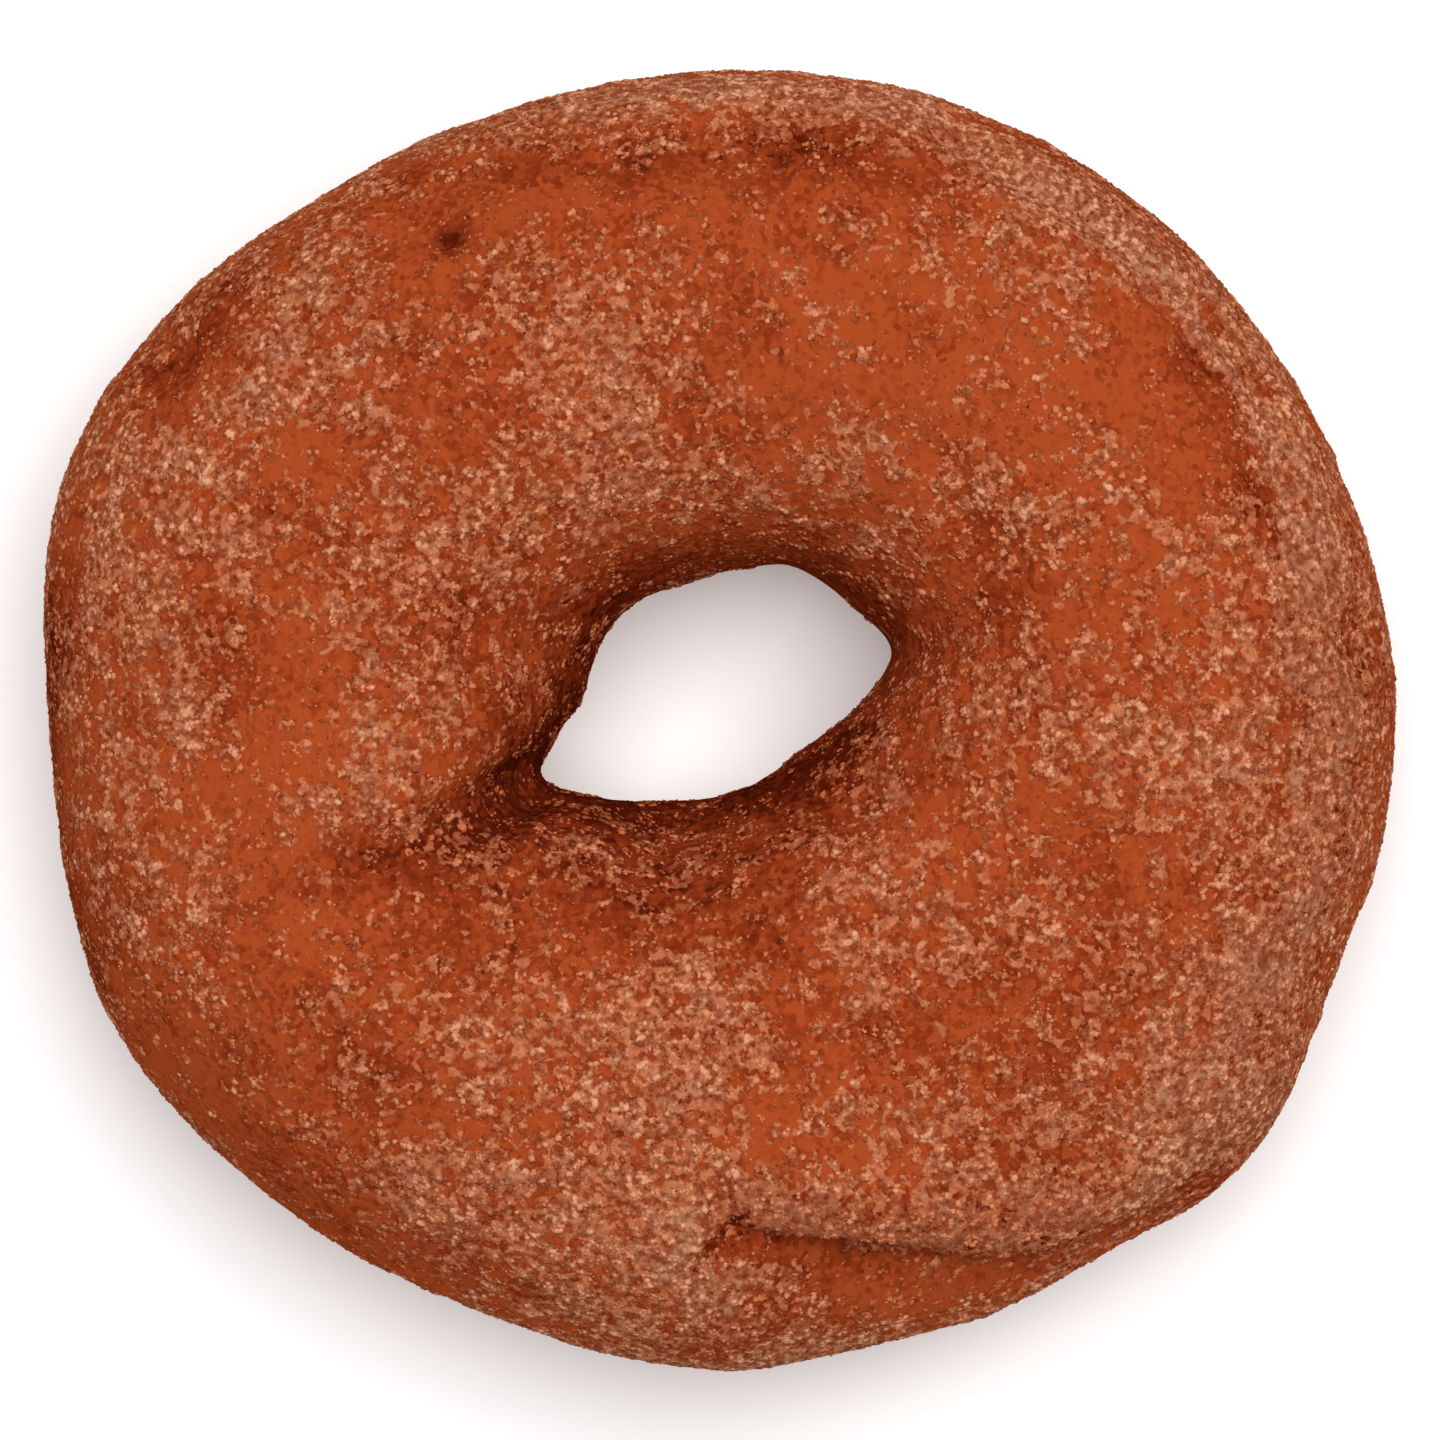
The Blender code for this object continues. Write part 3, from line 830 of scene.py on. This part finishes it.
def grain_points(shape, grains, spots, outward, rng):
    """Corners of one grain at each spot, each of its own size, laid on the crust and kept above the floor."""
    count = len(spots)
    size = rng.uniform(*grains.size, size=(count, 1)) * rng.uniform(*GRAIN_PROPORTIONS, size=(count, 3))
    size[:, 2] *= GRAIN_FLATNESS
    turned = np.einsum("nij,npj->npi", lying(rng, outward), shape[None] * size[:, None])
    lift = size[:, 2:] * rng.uniform(*GRAIN_LIFT, size=(count, 1))
    points = turned + (spots + outward * lift)[:, None]
    points[..., 2] += np.maximum(-points[..., 2].min(1), 0)[:, None]
    return points


def make_grains(name, grains, surface, paleness, tree):
    """All grains of one kind as one piece."""
    rng = np.random.default_rng(grains.seed)
    spots, outward, cells = scatter(surface, tree, grains.count, rng)
    shape, faces = SHAPES[grains.shape]
    points = grain_points(shape, grains, spots, outward, rng).reshape(-1, 3)
    firsts = np.arange(len(spots)) * len(shape)
    all_faces = (faces[None] + firsts[:, None, None]).reshape(-1, faces.shape[1])
    piece = mesh_of(name, points, all_faces, smooth=False)
    set_map(piece, grain_map(len(spots), *faces.shape))
    set_attribute(piece, "paleness", np.repeat(paleness.ravel()[cells], len(shape)))
    piece.data.materials.append(grain_material(name, grains))
    return piece


def grain_map(count, faces, corners):
    """A map with one small square for each grain, which all of its faces share."""
    side = math.ceil(math.sqrt(count))
    cell = np.stack(np.divmod(np.arange(count), side), -1)
    square = 0.5 + SQUARE[:corners] * (1 - 2 * MAP_MARGIN)
    places = (cell[:, None, None] + square) / side
    return np.broadcast_to(places, (count, faces, corners, 2))


def make_floor():
    """A white floor that glows a little, so that it renders nearly as bright as the photo's ground."""
    corners = np.column_stack([SQUARE, np.zeros(len(SQUARE))]) * FLOOR_SIDE / MM
    floor = mesh_of("floor", corners, np.array([(0, 1, 2, 3)]), smooth=False)
    glow = {"Emission_Color": WHITE, "Emission_Strength": FLOOR_GLOW}
    n = Nodes("floor", Roughness=FLOOR_ROUGHNESS, Specular_IOR_Level=FLOOR_SPECULAR, **glow)
    n.link(n.mix(n.noise(FLOOR_BLOTS), *FLOOR_COLOURS), "Base Color")
    floor.data.materials.append(n.material)


def make_camera():
    """A lens that shows the doughnut's waist at the photo's scale."""
    camera = bpy.data.cameras.new("camera")
    camera.sensor_width = SENSOR / MM
    waist_distance = CAMERA_HEIGHT - WAIST_HEIGHT * MM
    camera.lens = SENSOR * waist_distance / (PHOTO_SIDE / PHOTO_PX_PER_MM * MM) / MM
    obj = bpy.data.objects.new("camera", camera)
    obj.location = (0, 0, CAMERA_HEIGHT)
    bpy.context.collection.objects.link(obj)
    bpy.context.scene.camera = obj


def make_light():
    """One large soft light above and to the upper right, and an even white surround."""
    light = bpy.data.lights.new("key", "AREA")
    light.size = KEY_SIDE
    light.energy = KEY_POWER
    obj = bpy.data.objects.new("key", light)
    obj.location = KEY_PLACE
    away = np.array(KEY_PLACE)
    obj.rotation_euler = Euler((0, math.atan2(math.hypot(*away[:2]), away[2]), math.atan2(away[1], away[0])))
    bpy.context.collection.objects.link(obj)
    world = bpy.data.worlds.new("surround")
    world.use_nodes = True
    background = world.node_tree.nodes["Background"]
    background.inputs["Color"].default_value = WHITE
    background.inputs["Strength"].default_value = SKY_STRENGTH
    bpy.context.scene.world = world


make_camera()
make_light()
make_floor()
coated = crust_surface()
crust_piece, crust_tree = make_crust(coated)
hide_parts(NODE)
pieces = [crust_piece]
# Grains are paler where more sugar lies, and darker where the dough is toasted and where painted shade lies
grain_paleness = np.clip(PALE_LEAST + coated.sugar, 0, 1)
grain_paleness *= 1 - PALE_LOST_TO_TOAST_AND_SHADE * coated.toast
for grain_name, grain_kind in GRAINS.items():
    pieces.append(make_grains(grain_name, grain_kind, coated, grain_paleness, crust_tree))
for piece in pieces:
    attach(piece, "root")
bpy.context.scene.view_settings.view_transform = "Standard"
